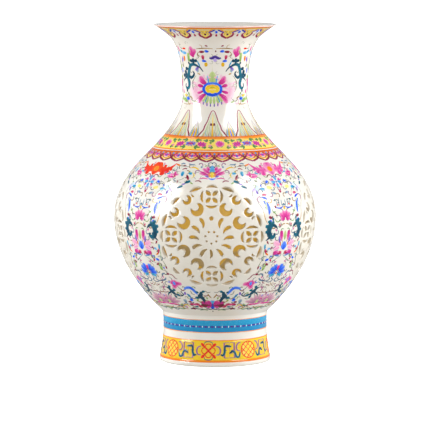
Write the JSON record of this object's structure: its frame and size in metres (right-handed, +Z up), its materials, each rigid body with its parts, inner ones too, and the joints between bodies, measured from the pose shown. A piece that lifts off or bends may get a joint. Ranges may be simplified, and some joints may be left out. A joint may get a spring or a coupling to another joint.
{
  "type": "porcelain vase",
  "caption": "Double-walled porcelain baluster vase with flared mouth, pierced belly medallions over a plain inner vase, painted enamel borders and a hollow foot.",
  "frame": {"origin": "centre of the foot's standing ring, on the table", "axes": "+Z up along the vase's axis, -Y towards the front medallion, +X to the right seen from the front"},
  "size_m": [0.21, 0.21, 0.35],
  "materials": {
    "porcelain": "clear glossy glaze over ivory-white porcelain",
    "openwork_glaze": "cream matt glaze on carved openwork",
    "liner_glaze": "glossy ochre-gold glaze with slate-blue brushwork",
    "enamel_rose": "raised rose-pink overglaze enamel",
    "enamel_red": "iron-red overglaze enamel",
    "enamel_blue": "raised cobalt-blue overglaze enamel",
    "enamel_turquoise": "turquoise overglaze enamel",
    "enamel_green": "teal-green overglaze enamel",
    "enamel_yellow": "lemon-yellow overglaze enamel",
    "enamel_orange": "orange overglaze enamel",
    "enamel_violet": "violet overglaze enamel",
    "enamel_sepia": "thin grey-brown line enamel",
    "enamel_white": "raised white enamel",
    "gilding": "satin gold lines"
  },
  "bodies": {
    "root": {"neck": "porcelain", "upper_belly": "porcelain", "lower_belly": "porcelain", "foot": "porcelain", "inner_liner": "liner_glaze", "medallion_front": "openwork_glaze", "medallion_right": "openwork_glaze", "medallion_back": "openwork_glaze", "medallion_left": "openwork_glaze"}
  },
  "joints": []
}
